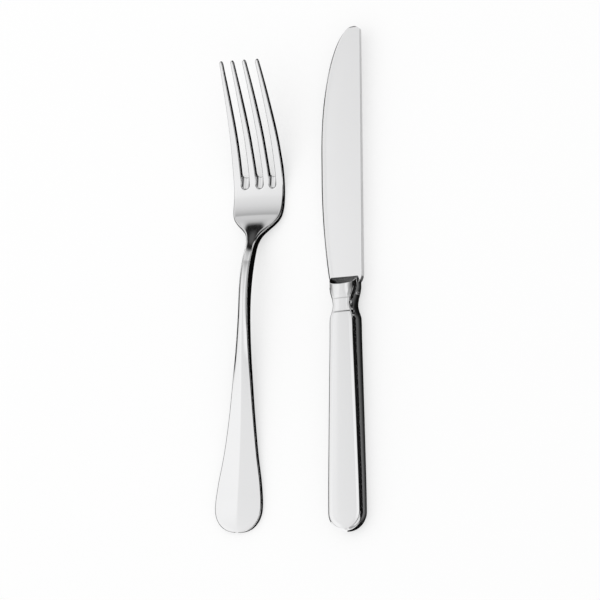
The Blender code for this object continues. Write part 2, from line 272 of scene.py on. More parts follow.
class KnifeSizes(bpy.types.PropertyGroup):
    """Sizes of the knife, and its colours."""
    long: length("Length", "Butt to tip", 229.42)
    handle: length("Handle", "Butt to the shoulder over the waist", 95.0)
    butt: length("Butt thickness", "Thickness at the butt", 6.2)
    shoulder: length("Shoulder thickness", "Thickness at the shoulder", 9.0)
    end_round: length("Butt round", "Length of the rounded butt", 8.5)
    bolster: length("Bolster end", "Butt to the start of the bolster's slope", 110.7)
    slope: length("Bolster slope", "Length of the slope down to the blade", 4.6)
    spine_x: length("Spine", "Middle line to the spine", KNIFE_SPINE)
    blade: length("Blade width", "Widest part of the blade", 20.7)
    belly: length("Belly", "Length of the curved part of the edge", 57.0)
    tip_round: length("Tip round", "Length of the round between tip and spine", 2.6)
    tip_back: length("Tip from spine", "Top of the tip to the spine", 3.8)
    edge_thick: length("Edge thickness", "Thickness of the cutting edge", 0.34)
    spine_thick: length("Spine thickness", "Thickness of the spine at the base", 2.3)
    place_x: length("Place X", "Middle line across the set", KNIFE_RIGHT - KNIFE_SPINE)
    place_y: length("Place Y", "Butt along the set", -114.73)
    crown: length("Crown", "How far the handle's top face bows up in its middle", 0.09)
    bow: share("Bolster bow", "Share by which the bolster's faces fall to its sides", 0.2)
    colour: tint("Handle steel", "Colour of the handle's steel", (0.95, 0.95, 0.955))
    blade_colour: tint("Blade steel", "Colour of the blade's steel", (0.955, 0.955, 0.96))


class StageSizes(bpy.types.PropertyGroup):
    """Sizes of the stage, and its colour."""
    floor: length("Floor", "Side of the square floor", 2400.0)
    distance: length("Camera distance", "Camera to the middle of the handle ends", 1740.0)
    frame: length("Frame", "Width that the picture shows", 267.9)
    floor_colour: tint("Floor colour", "Colour of the floor", (0.97, 0.97, 0.97))


# Fork
# Each table holds pairs of millimetres: the way from the handle's end, and the value there.
# They are half the width, the height of the middle surface, the thickness, and the width
# and the depth of the rolled rim.

FORK_HALF = (
    (0.0, 12.07), (12.0, 12.07), (20.5, 11.25), (34.0, 8.85), (51.2, 6.55), (69.5, 4.7),
    (87.5, 3.2), (98.5, 2.62), (112.0, 2.42), (127.0, 2.35), (132.0, 2.75),
    (135.4, 4.3), (138.2, 7.1), (140.8, 10.0), (143.4, 12.0), (146.8, 12.85),
    (152.4, 13.0), (162.5, 13.0), (173.7, 12.65), (192.0, 11.5), (205.2, 10.65),
    (212.8, 10.05),
)
FORK_MIDDLE = (
    (0.0, 1.0), (12.0, 1.35), (26.0, 1.9), (42.0, 2.9), (60.0, 4.5), (78.0, 6.4),
    (96.5, 8.1), (110.0, 8.9), (118.0, 8.5), (126.0, 7.0), (134.6, 4.4), (143.0, 2.2),
    (152.4, 1.3), (159.5, 2.3), (168.6, 5.2), (180.8, 10.2), (195.0, 17.2), (212.8, 26.6),
)
FORK_THICK = (
    (0.0, 2.0), (60.0, 2.15), (78.0, 2.6), (96.0, 3.2), (112.0, 3.9), (126.0, 4.1),
    (134.0, 3.5), (142.0, 2.6), (152.0, 2.2), (168.0, 2.0), (193.0, 1.95), (212.8, 1.3),
)
FORK_BAND = (
    (0.0, 0.55), (70.0, 0.5), (96.0, 0.45), (128.0, 0.5), (136.0, 1.35), (145.0, 1.35),
    (153.0, 0.6), (165.0, 0.42), (212.8, 0.4),
)
FORK_DEPTH = (
    (0.0, 0.45), (70.0, 0.5), (96.0, 0.6), (128.0, 0.65), (136.0, 0.75), (145.0, 0.5),
    (153.0, 0.45), (165.0, 0.32), (212.8, 0.28),
)


TINES = 4
TINE_POINTS = 9
SLOT_POINTS = 13
TINE_BAND = 0.42
END_ROWS = 14
END_BLEND = 24.0
SHOULDER = 126.0
HEAD = 144.2
TIP_DOME = 1.75
TIP_RUN = 4.0
HEAD_HALF = 13.0
NECK = 112.0
RIM_RINGS = 7


def tine_sides(s, half_width, index, y):
    """Left and right side of a tine's inner strip: straight lines that spread to the roots.

    The pitch and the width grow from the tips with the powers 0.62 and 0.8 of the share
    of the slot's length. The outermost sides follow the fork's outline.
    """
    part = np.clip((s.long - y) / s.slot, 0.0, 1.0)
    pitch = s.tip_pitch + (s.root_pitch - s.tip_pitch) * part ** 0.62
    half = 0.5 * (s.tip_width + (s.root_width - s.tip_width) * part ** 0.8)
    middle = (index - 0.5 * (TINES - 1)) * pitch
    left = middle - half if index > 0 else -half_width(y)
    right = middle + half if index < TINES - 1 else half_width(y)
    return left + TINE_BAND, right - TINE_BAND


def slot_row(s, half_width):
    """The row that dips round the slot ends, its level, and each tine's part of it.

    Half circles join the tines' roots, and the points across a tine are spaced as the
    cosine, so that they crowd at its sides.
    """
    fan = 0.5 * (1.0 - np.cos(np.linspace(0.0, np.pi, TINE_POINTS)))
    root = s.long - s.slot
    above = root + 1.9
    gaps = [
        tine_sides(s, half_width, index + 1, above)[0] - tine_sides(s, half_width, index, above)[1]
        for index in range(TINES - 1)]
    level = root + 0.5 * np.mean(gaps) - TINE_BAND
    turns = np.pi + np.linspace(0.0, np.pi, SLOT_POINTS + 2)[1:-1]
    xs = []
    ys = []
    spans = []
    for index in range(TINES):
        left, right = tine_sides(s, half_width, index, level)
        first = index * (TINE_POINTS + SLOT_POINTS)
        spans.append((first, first + TINE_POINTS - 1))
        xs.append(left + (right - left) * fan)
        ys.append(np.full(TINE_POINTS, level))
        if index < TINES - 1:
            far = tine_sides(s, half_width, index + 1, level)[0]
            xs.append(0.5 * (right + far) + 0.5 * (far - right) * np.cos(turns))
            ys.append(level + 0.5 * (far - right) * np.sin(turns))
    return np.concatenate(xs), np.concatenate(ys), level, spans, fan


def fork_plan(s):
    """Inner grid of the fork seen flat, its faces, its edge's point numbers, and a level.

    Rows run across the handle and the head. The first is the handle's superellipse end,
    x to the power 2.5 and y to the power 2, and the next ones blend from it to straight
    rows. The last dips round the slot ends, at the level that is given back. Each tine is
    a strip of rows that ends in a half ellipse.
    """
    half_width = smooth_curve(FORK_HALF, 0.9)
    band = smooth_curve(FORK_BAND, 1.2)

    def inner_half(y):
        return half_width(y) - band(y) * np.sqrt(1.0 + slope_of(half_width, y, 0.1) ** 2)

    last_x, last_y, level, spans, fan = slot_row(s, half_width)
    columns = len(last_x)
    part = last_x / -last_x[0]
    step = np.linspace(-1.0, 1.0, columns)
    turn = np.abs(step) * 0.5 * np.pi
    inset = float(band(0.0))
    cap_x = np.sign(step) * (s.end_half - inset) * np.sin(turn) ** 0.8
    cap_y = inset + (s.end_round - inset) * (1.0 - np.cos(turn))
    rows = []
    for blend in np.arange(END_ROWS) / END_ROWS:
        y = (1.0 - blend) * cap_y + blend * END_BLEND
        x = (1.0 - blend) * cap_x + blend * part * inner_half(END_BLEND)
        if blend > 0.0:
            x *= inner_half(y[-1]) / x[-1]
        rows.append((x, y))
    straight = np.concatenate((
        np.arange(END_BLEND, SHOULDER, 1.4), np.arange(SHOULDER, HEAD - 0.2, 0.65),
        np.linspace(HEAD, level, 20)))
    for y in straight:
        bend = np.clip((y - HEAD) / (level - HEAD), 0.0, 1.0) ** 1.6
        rows.append((part * inner_half(y), y + bend * (last_y - level)))
    points = [np.stack((x, y), axis=1) for x, y in rows]
    faces = [grid_faces(len(rows), columns)]
    count = len(rows) * columns
    final = count - columns
    base = s.long - TIP_DOME
    ys = np.concatenate((
        np.linspace(level, base - TIP_RUN, 44)[1:], np.linspace(base - TIP_RUN, base, 9)[1:]))
    dome = np.sqrt(np.maximum(1.0 - (2.0 * fan - 1.0) ** 2, 0.0))
    strips = []
    for index, (first, last) in enumerate(spans):
        for y in ys:
            left, right = tine_sides(s, half_width, index, y)
            lift = 1.2 * np.clip((y - base + TIP_RUN) / TIP_RUN, 0.0, 1.0) ** 2
            points.append(np.stack((left + (right - left) * fan, y + lift * dome), axis=1))
        size = len(ys) * TINE_POINTS
        numbers = np.concatenate((
            np.arange(final + first, final + last + 1)[None, :],
            (count + np.arange(size)).reshape(-1, TINE_POINTS)))
        faces += [joining_faces(a, b, closed=False) for a, b in zip(numbers[:-1], numbers[1:])]
        strips.append(numbers)
        count += size
    loop = [np.arange(len(rows)) * columns]
    for index, numbers in enumerate(strips):
        loop += [numbers[1:, 0], numbers[-1, 1:], numbers[::-1, -1][1:]]
        if index < TINES - 1:
            loop.append(np.arange(final + spans[index][1] + 1, final + spans[index + 1][0] + 1))
    loop += [loop[0][-2::-1] + columns - 1, np.arange(columns - 2, 0, -1)]
    return np.concatenate(points), np.concatenate(faces), np.concatenate(loop), level


def fork_relief(s, half, x, y):
    """Height of the top over its flat: ridge, neck, shoulders and the neck's left side.

    The handle's ridge falls evenly from a soft middle line to the sides. The neck is a
    parabola across and a bell along. The shoulders and the neck's left side fall away in
    smooth steps.
    """
    line = 0.35
    soft = np.sqrt(x ** 2 + line ** 2) - line
    handle = np.clip((NECK - y) / 30.0, 0.0, 1.0) * np.clip(y / 14.0, 0.0, 1.0)
    relief = s.ridge * handle * np.clip(1.0 - soft / half, 0.0, 1.0)
    out = np.clip(np.abs(x) / half, 0.0, 1.0)
    relief += s.neck_rise * np.exp(-0.5 * ((y - NECK) / 17.0) ** 2) * (1.0 - out ** 2)
    before_head = np.clip((142.0 - y) / 11.0, 0.0, 1.0) ** 1.3 * (y > 118.0)
    relief -= s.shoulder_fall * before_head * rise_at(np.abs(x), 3.0, 6.0)
    left = np.clip((1.3 - half - x) / 0.8, 0.0, 1.0) ** 1.6
    return relief - s.neck_fall * left * rise_at(y, 62.0, 28.0) * rise_at(-y, -134.0, 8.0)


def slot_slide(s, level, y):
    """How far the underside's points lie beyond the top's, toward the tips."""
    into = np.clip((y - level + 8.0) / 5.5, 0.0, 1.0) ** 2
    back = np.clip(1.0 - (y - level - 1.0) / 13.0, 0.0, 1.0) ** 2
    return s.slot_slope * np.where(y < level + 1.0, into * back, back)


def tine_shift(s, x, y):
    """Shift across the head: tips to the left, and the middle tines' roots to the right."""
    inward = np.cos(0.5 * np.pi * np.clip(x / HEAD_HALF, -1.0, 1.0)) ** 2
    tip = np.clip(1.0 - (s.long - y) / s.lean_length, 0.0, 1.0) ** 1.3
    root = np.exp(-0.5 * ((y - s.long + 51.3) / 9.0) ** 2)
    return s.root_lean * inward * root - (s.lean + s.middle_lean * inward) * tip


def fork_solid(s):
    """Closed fork: top and underside from one plan, rolled rims, then bent and placed.

    A rim is a quarter ellipse over the band between the inner grid and the outline, in
    rings of points that are spaced as the sine. The flat body follows the side profile,
    each point moved along the profile's normal by its height over the middle surface.
    """
    plan, faces, loop, level = fork_plan(s)
    half_width = smooth_curve(FORK_HALF, 0.9)
    band = smooth_curve(FORK_BAND, 1.2)
    thick = smooth_curve(FORK_THICK, 2.5)
    depth = smooth_curve(FORK_DEPTH, 1.5)
    middle = smooth_curve(FORK_MIDDLE, 2.6)
    rim = plan[loop]
    along = np.roll(rim, -1, axis=0) - np.roll(rim, 1, axis=0)
    along /= np.linalg.norm(along, axis=1)[:, None]
    outward = np.stack((-along[:, 1], along[:, 0]), axis=1)
    inside = np.abs(rim[:, 0]) < half_width(rim[:, 1]) - 1.6
    wide = np.where(inside & (rim[:, 1] > level - 4.0), TINE_BAND, band(rim[:, 1]))
    out = np.sin(np.linspace(0.0, 0.5 * np.pi, RIM_RINGS + 1))[1:]
    down = 1.0 - np.sqrt(np.maximum(1.0 - out ** 2, 0.0))
    flat = np.concatenate([plan] + [rim + outward * (wide * k)[:, None] for k in out])
    drop = np.concatenate((np.zeros(len(plan)), np.repeat(down, len(loop))))
    x, y = flat.T
    up = 0.5 * thick(y)
    top = up + fork_relief(s, half_width(y), x, y) - drop * depth(y)
    under = -up + 0.65 * drop * depth(y)
    slide = slot_slide(s, level, y)
    total = len(flat)
    ring = np.arange(len(loop))
    edge = total - len(loop) + ring
    wall_parts = (0.08, 0.5, 0.92)
    y_parts = [y, y + slide]
    n_parts = [top, under]
    for k in wall_parts:
        y_parts.append(y[edge] + k * slide[edge])
        n_parts.append((1.0 - k) * top[edge] + k * under[edge])
    x = np.concatenate([x, x] + [x[edge]] * len(wall_parts))
    y = np.concatenate(y_parts)
    n = np.concatenate(n_parts)
    rings = [loop] + [len(plan) + k * len(loop) + ring for k in range(RIM_RINGS)]
    upper = np.concatenate([faces] + [joining_faces(a, b) for a, b in zip(rings[:-1], rings[1:])])
    lower = upper[:, ::-1] + total
    steps = [2 * total + k * len(loop) + ring for k in range(len(wall_parts))]
    steps = [edge] + steps + [edge + total]
    wall = [joining_faces(a, b) for a, b in zip(steps[:-1], steps[1:])]
    x = x + tine_shift(s, x, y)
    rise = slope_of(middle, y, 0.2)
    size = np.sqrt(1.0 + rise ** 2)
    y, z = y - n * rise / size, middle(y) + n / size
    placed = np.stack((
        s.place_x + x * np.cos(s.turn) - y * np.sin(s.turn),
        s.place_y + x * np.sin(s.turn) + y * np.cos(s.turn),
        z - z.min()), axis=1)
    return placed * MM, np.concatenate([upper, lower] + wall)


class MakeFork(bpy.types.Operator):
    """Make the fork from its flat plan, its rims and its side profile"""
    bl_idname = "cutlery.make_fork"
    bl_label = "Make fork"

    def execute(self, context):
        s = in_mm(context.scene.fork_sizes)
        points, faces = fork_solid(s)
        steel = steel_material("fork_polish", s.colour, FORK_MARKS)
        fork = new_piece("fork_body", points, faces, steel)
        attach(fork, "root")
        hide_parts("table_fork")
        return {"FINISHED"}


# Knife
# Half the width of the handle, in pairs of millimetres: the way from the butt, and the value.

KNIFE_HALF = (
    (0.0, 8.95), (12.0, 8.9), (40.0, 8.3), (70.0, 7.5), (88.0, 7.0), (93.5, 6.9),
    (95.8, 6.75), (98.2, 5.95), (101.6, 5.2), (104.6, 5.75), (107.5, 6.75), (111.4, 7.3),
    (115.0, 7.4),
)

CORNER_BEND = (0.3, 0.22, 0.3, 1.6, 0.3, 0.22, 0.3)
FACE_INSET = 2.9
BEVEL_INSET = 1.2
SIDE_INSET = 0.2


def knife_share(s, y):
    """Share of the full thickness: less in the waist, with a fine groove at its far end."""
    waist = -0.055 * rise_at(y, s.handle + 2.7, 0.9)
    groove = -0.035 * rise_at(y, s.handle + 9.1, 0.5) + 0.065 * rise_at(y, s.handle + 9.6, 0.7)
    return 1.0 + waist + groove


def knife_middle(s, y):
    """Height of the middle plane, so that the back of the handle lies flat."""
    return 0.5 * s.butt + 0.5 * (s.shoulder - s.butt) / s.handle * y


def knife_place(s, x, y, n):
    return np.stack((s.place_x + x, s.place_y + y, knife_middle(s, y) + n), axis=-1) * MM


def rounded_section(corners, bend):
    """Points round closed sections, with each corner replaced by a small curve.

    The curve is the quadratic through the two points that lie bend before and after the
    corner. Two points near its ends and one in the middle keep each flat flat.
    """
    before = np.roll(corners, 1, axis=1) - corners
    after = np.roll(corners, -1, axis=1) - corners
    to_before = np.linalg.norm(before, axis=2, keepdims=True)
    to_after = np.linalg.norm(after, axis=2, keepdims=True)
    a = corners + before / to_before * np.minimum(bend[None, :, None], 0.35 * to_before)
    b = corners + after / to_after * np.minimum(bend[None, :, None], 0.35 * to_after)
    rows = [a]
    for t in (0.25, 0.5, 0.75):
        rows.append((1 - t) ** 2 * a + 2 * t * (1 - t) * corners + t ** 2 * b)
    rows.append(b)
    flat = np.roll(a, -1, axis=1) - b
    for t in (0.12, 0.5, 0.88):
        rows.append(b + flat * t)
    section = np.stack(rows, axis=2)
    return section.reshape(corners.shape[0], -1, 2)


def handle_corners(half, up):
    """Corner points of the handle's section: flats, shallow and steep bevels, bowed sides."""
    narrow = np.minimum(half / 6.0, 1.0)
    quarter = ((FACE_INSET, 1.0), (BEVEL_INSET, 0.95), (SIDE_INSET, 0.6))
    down = [(half - inset * narrow, k * up) for inset, k in quarter]
    right = down + [(half, 0.0 * up)] + [(x, -n) for x, n in reversed(down)]
    right = [np.stack(pair, axis=1) for pair in right]
    left = [corner * np.array((-1.0, 1.0)) for corner in reversed(right)]
    return np.stack(right + left, axis=1)


def knife_handle(s):
    """Closed handle: a half turned butt, a long tapering body, the waist and the bolster.

    The butt is the body's own section turned half round on an ellipse, from the middle of
    the top face to the middle of the back. The top face bows up as a parabola. The
    bolster's faces bow down to its sides, and each line along it ends where it meets the
    plane that slopes down to the blade.
    """
    half = smooth_curve(KNIFE_HALF, 0.55)
    waist = 92.0
    stop = s.bolster - 1.2
    stations = np.concatenate((
        np.arange(s.end_round, waist, 1.5), np.arange(waist, stop, 0.25), (stop,)))
    high = knife_middle(s, stations) * knife_share(s, stations)
    section = rounded_section(handle_corners(half(stations), high), np.array(CORNER_BEND * 2))
    columns = section.shape[1]
    x = section[:, :, 0]
    n = section[:, :, 1]
    across = x / half(stations)[:, None]
    n = n * (1.0 - s.bow * across ** 2 * rise_at(stations, s.handle + 8.0, 7.0)[:, None])
    crown = s.crown * np.clip(1.0 - (x / np.abs(x[:, :1])) ** 2, 0.0, 1.0)
    n = n + np.where(n > 0.0, crown, 0.0)
    last = n[-1]
    top = np.max(last)
    end = s.bolster + s.slope
    meet = end - s.slope * np.abs(last) / top
    rings = [(0.5 * (stop + meet - 0.2), last), (meet - 0.2, last), (meet, 0.995 * last)]
    for k in (0.04, 0.12, 0.3, 0.5, 0.7, 0.85, 1.0):
        y = meet + (end - meet) * k
        rings.append((y, np.sign(last) * top * (end - y) / s.slope))
    ys = np.repeat(stations[:, None], columns, axis=1)
    ys = np.concatenate([ys] + [y[None] for y, _ in rings])
    n = np.concatenate([n] + [level[None] for _, level in rings])
    x = np.concatenate([x] + [x[-1:]] * len(rings))
    body = knife_place(s, x, ys, n).reshape(-1, 3)
    faces = grid_faces(len(ys), columns, closed=True)

    order = np.concatenate(((columns - 2, columns - 1), np.arange(columns // 2 - 1)))
    turns = np.linspace(0.0, np.pi, 49)[:, None]
    flat_x = x[0][order]
    cap_x = flat_x * np.cos(turns)
    cap_y = s.end_round * (1.0 - flat_x / half(s.end_round) * np.sin(turns))
    cap_n = n[0][order] * knife_middle(s, cap_y) / knife_middle(s, s.end_round)
    cap = knife_place(s, cap_x, cap_y, cap_n).reshape(-1, 3)
    cap_faces = grid_faces(len(turns), len(order), start=len(body))
    return np.concatenate((body, cap)), np.concatenate((faces, cap_faces))


def quarter_ellipse(along):
    """Way in from a side, from 0 where along is 0 to 1 where it is 1."""
    return 1.0 - np.sqrt(1.0 - along ** 2)


def blade_sides(s, y):
    """Left edge and right spine of the blade: a parabola, a line and quarter ellipses."""
    start = s.bolster + s.slope
    ease = np.clip(1.0 - (y - start) / 45.0, 0.0, 1.15)
    belly = quarter_ellipse(np.clip(1.0 - (s.long - y) / s.belly, 0.0, 1.0))
    left = s.spine_x - s.blade + 3.3 * ease ** 2 + (s.blade - s.tip_back) * belly
    tip = quarter_ellipse(np.clip(1.0 - (s.long - y) / s.tip_round, 0.0, 1.0))
    right = s.spine_x - s.tip_back * tip
    heel = quarter_ellipse(np.clip((start + 0.4 - y) / s.slope, 0.0, 1.0))
    return left + 2.6 * heel, right - 2.4 * heel


BEVEL_COLUMNS = (0.0, 0.02, 0.06, 0.12, 0.19, 0.26, 0.33, 0.45, 0.65, 0.85)
FACE_COLUMNS = (0.0, 0.02, 0.16, 0.32, 0.5, 0.68, 0.84, 0.97, 1.0)
SPINE_COLUMNS = ((0.5, 1.0), (0.08, 0.985), (0.0, 0.93), (0.0, 0.85))


def knife_blade(s):
    """Closed blade: wedge sections from a thin edge with a fine bevel to a flat spine.

    The half thickness grows from the edge to the spine as the power 0.62 of the way. The
    bevel is straight for its first quarter and then eases into the face as a parabola.
    The spine has a small chamfer, given as shares of the chamfer and of the thickness.
    """
    end = s.bolster + s.slope
    ys = np.concatenate((
        np.linspace(s.bolster - 5.0, s.bolster, 4)[:-1], np.linspace(s.bolster, end + 1.5, 14),
        np.arange(end + 2.5, s.long - s.belly, 1.5),
        s.long - s.belly * (1.0 - np.sin(np.linspace(0.02, 0.5 * np.pi, 70)))))
    left, right = blade_sides(s, ys)
    width = np.maximum(right - left, 0.02)
    far = np.clip((ys - s.bolster) / (s.long - s.bolster), 0.0, 1.0)
    spine = 0.5 * s.spine_thick * (1.0 - 0.35 * far)
    edge = 0.5 * s.edge_thick
    bevel = np.minimum(2.8, 0.2 * width)
    chamfer = np.minimum(0.12, 0.04 * width)

    def half_at(x):
        way = np.clip((x - (s.spine_x - s.blade)) / s.blade, 0.0, 1.0)
        return edge + (spine - edge) * way ** 0.62

    body = half_at(left + bevel)
    xs = []
    heights = []
    for k in BEVEL_COLUMNS:
        xs.append(left + bevel * k)
        heights.append(body * (0.04 + 0.8 * min(k / 0.26, 1.0) + 0.16 * (1.0 - (1.0 - k) ** 2)))
    for k in FACE_COLUMNS:
        xs.append(left + bevel + (right - chamfer - left - bevel) * k)
        heights.append(half_at(xs[-1]))
    for inset, k in SPINE_COLUMNS:
        xs.append(right - inset * chamfer)
        heights.append(spine * k)
    x = np.stack(xs, axis=1)
    n = np.stack(heights, axis=1) * np.clip((s.long - ys) / 0.5, 0.03, 1.0)[:, None] ** 0.5
    x = np.concatenate((x, x[:, ::-1]), axis=1)
    n = np.concatenate((n, -n[:, ::-1]), axis=1)
    columns = x.shape[1]
    points = knife_place(s, x, np.repeat(ys[:, None], columns, axis=1), n)
    faces = [grid_faces(len(ys), columns, closed=True)[:, ::-1]]
    near = np.arange(columns // 2)
    for row, way in ((0, -1), (len(ys) - 1, 1)):
        base = row * columns
        ends = joining_faces(base + near, base + columns - 1 - near, closed=False)
        faces.append(np.roll(ends[:, ::way], -way, axis=1))
    return points.reshape(-1, 3), np.concatenate(faces)


class MakeKnife(bpy.types.Operator):
    """Make the knife's handle and blade from their sections"""
    bl_idname = "cutlery.make_knife"
    bl_label = "Make knife"

    def execute(self, context):
        s = in_mm(context.scene.knife_sizes)
        points, faces = knife_handle(s)
        polish = steel_material("knife_polish", s.colour, HANDLE_MARKS)
        handle = new_piece("knife_handle", points, faces, polish)
        points, faces = knife_blade(s)
        satin = steel_material("blade_satin", s.blade_colour, BLADE_MARKS)
        blade = new_piece("knife_blade", points, faces, satin)
        for piece in (handle, blade):
            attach(piece, "root")
            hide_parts("table_knife")
        return {"FINISHED"}


# Stage
# A ramp is pairs of place and grey. Along X and Y the place is half of one more than the
# direction, and along Z it is the direction itself. A panel's part is its Y and Z ramps.

ROOM_FRONT = (
    (0.0, 0.85), (0.3, 0.88), (0.45, 0.93), (0.545, 0.93), (0.585, 0.88), (0.625, 0.85),
    (0.66, 0.81), (0.684, 0.76), (0.711, 0.68), (0.732, 0.58), (0.754, 0.45), (0.763, 0.72),
    (0.79, 0.68), (0.813, 0.54), (0.824, 0.27), (0.836, 0.015), (0.853, 0.01), (0.8585, 0.1),
    (0.872, 0.1), (0.9, 0.02), (1.0, 0.1),
)
ROOM_SIDE = (
    (0.0, 0.01), (0.035, 0.03), (0.06, 0.3), (0.09, 0.66), (0.12, 0.82), (0.165, 0.95),
    (0.2, 1.0), (0.234, 1.0), (0.25, 0.88), (0.285, 0.86), (0.325, 0.8), (0.345, 1.0),
    (0.375, 1.0), (0.41, 0.5), (0.5, 0.4), (0.53, 0.25), (0.56, 0.006), (1.0, 0.006),
)
ROOM_LEFT = ((0.0, 0.75), (0.17, 0.75), (0.225, 0.0), (1.0, 0.0))
PANEL_SIDE = ((0.0, 0.0), (0.4, 0.0), (0.45, 0.75), (1.0, 0.75))
PANEL_LOW = (
    ((0.0, 1.0), (0.505, 1.0), (0.535, 0.0), (0.62, 0.0), (0.65, 1.0), (1.0, 1.0)),
    ((0.0, 0.0), (0.15, 0.0), (0.28, 1.0), (0.5, 1.0), (0.64, 0.0), (1.0, 0.0)),
)
PANEL_REAR = (
    ((0.0, 0.0), (0.69, 0.0), (0.75, 1.0), (1.0, 1.0)),
    ((0.0, 0.0), (0.15, 0.0), (0.28, 1.0), (0.6, 1.0), (0.72, 0.0), (1.0, 0.0)),
)
PANEL_ENDS = (
    ((0.0, 0.0), (0.335, 0.0), (0.35, 1.0), (0.4, 1.0), (0.42, 0.0), (1.0, 0.0)),
    ((0.0, 0.0), (0.5, 0.0), (0.62, 1.0), (1.0, 1.0)),
)
PLAIN_GREY = 0.92
FLOOR_WHITE = 0.6
WHITE_RAYS = ("Is Camera Ray", "Is Glossy Ray", "Is Transmission Ray")


def level_at(nodes, links, value, stops):
    """Grey level from a value through a colour ramp, given as (position, level) stops."""
    ramp = nodes.new("ShaderNodeValToRGB")
    ramp.color_ramp.interpolation = "LINEAR"
    elements = ramp.color_ramp.elements
    while len(elements) < len(stops):
        elements.new(0.5)
    for element, (position, level) in zip(elements, stops):
        element.position = position
        element.color = (level, level, level, 1.0)
    links.new(value, ramp.inputs["Fac"])
    return ramp.outputs["Color"]


def mixed(nodes, links, way, first, second):
    """Two greys mixed in full in the given way."""
    node = nodes.new("ShaderNodeMix")
    node.data_type = "RGBA"
    node.blend_type = way
    node.inputs["Factor"].default_value = 1.0
    links.new(first, node.inputs["A"])
    links.new(second, node.inputs["B"])
    return node.outputs["Result"]


def make_world(scene):
    """Even light for matt surfaces, and a room of soft grey panels for reflections.

    The room's grey is a ramp from front to rear, with the far left made lighter, times a
    ramp from left to right. Where it is lighter than the room, a panel on the right shows
    as well. It has three parts: a low one with a gap, a taller one at the rear, and one
    high up for the handles' ends.
    """
    world = bpy.data.worlds.new("studio")
    scene.world = world
    world.use_nodes = True
    nodes = world.node_tree.nodes
    links = world.node_tree.links
    nodes.clear()
    split = nodes.new("ShaderNodeSeparateXYZ")
    links.new(nodes.new("ShaderNodeTexCoord").outputs["Generated"], split.inputs["Vector"])
    places = {"Z": split.outputs["Z"]}
    for axis in "XY":
        half = nodes.new("ShaderNodeMapRange")
        set_input(half, "From Min", -1.0)
        links.new(split.outputs[axis], half.inputs["Value"])
        places[axis] = half.outputs["Result"]

    def grey(axis, stops):
        return level_at(nodes, links, places[axis], stops)

    def mix(way, first, second):
        return mixed(nodes, links, way, first, second)

    room = mix("LIGHTEN", grey("Y", ROOM_FRONT), grey("X", ROOM_LEFT))
    room = mix("MULTIPLY", room, grey("X", ROOM_SIDE))
    low, rear, ends = [
        mix("MULTIPLY", grey("Y", along), grey("Z", up))
        for along, up in (PANEL_LOW, PANEL_REAR, PANEL_ENDS)]
    parts = mix("LIGHTEN", low, mix("LIGHTEN", rear, ends))
    panel = mix("MULTIPLY", grey("X", PANEL_SIDE), parts)
    mirrored = nodes.new("ShaderNodeBackground")
    links.new(mix("LIGHTEN", room, panel), mirrored.inputs["Color"])
    plain = nodes.new("ShaderNodeBackground")
    set_input(plain, "Color", (PLAIN_GREY, PLAIN_GREY, PLAIN_GREY, 1.0))
    choose = nodes.new("ShaderNodeMixShader")
    path = nodes.new("ShaderNodeLightPath")
    links.new(path.outputs["Is Glossy Ray"], choose.inputs["Fac"])
    links.new(plain.outputs["Background"], choose.inputs[1])
    links.new(mirrored.outputs["Background"], choose.inputs[2])
    out = nodes.new("ShaderNodeOutputWorld")
    links.new(choose.outputs["Shader"], out.inputs["Surface"])


def floor_material(colour):
    """Pale matt floor that is three fifths plain white to the eye, so it keeps its shadow."""
    material = bpy.data.materials.new("floor_pale")
    material.use_nodes = True
    nodes = material.node_tree.nodes
    links = material.node_tree.links
    shader = nodes["Principled BSDF"]
    set_input(shader, "Base Color", (*colour, 1.0))
    set_input(shader, "Roughness", 0.9)
    set_input(shader, "Specular IOR Level", 0.0)
    path = nodes.new("ShaderNodeLightPath")
    seen = path.outputs[WHITE_RAYS[0]]
    for name in WHITE_RAYS[1:]:
        either = nodes.new("ShaderNodeMath")
        either.operation = "MAXIMUM"
        links.new(seen, either.inputs[0])
        links.new(path.outputs[name], either.inputs[1])
        seen = either.outputs["Value"]
    part = nodes.new("ShaderNodeMath")
    part.operation = "MULTIPLY"
    part.inputs[1].default_value = FLOOR_WHITE
    links.new(seen, part.inputs[0])
    white = nodes.new("ShaderNodeEmission")
    set_input(white, "Color", (1.0, 1.0, 1.0, 1.0))
    set_input(white, "Strength", 1.0)
    blend = nodes.new("ShaderNodeMixShader")
    links.new(part.outputs["Value"], blend.inputs["Fac"])
    links.new(shader.outputs["BSDF"], blend.inputs[1])
    links.new(white.outputs["Emission"], blend.inputs[2])
    links.new(blend.outputs["Shader"], nodes["Material Output"].inputs["Surface"])
    return material


def flat_sheet(name, corners, material):
    """One four-sided face through the corners, in millimetres."""
    sheet = new_piece(name, np.array(corners) * MM, np.array(((0, 1, 2, 3),)), material)
    return sheet


DARK = ((0.0, 0.003), (1.0, 0.003))
SIDE_BAND = (
    (0.0, 0.003), (0.025, 0.01), (0.037, 0.24), (0.04, 0.2), (0.045, 0.003), (1.0, 0.003))
SPINE_GREY = ((0.0, 0.65), (1.0, 0.65))
LOW = 0.06

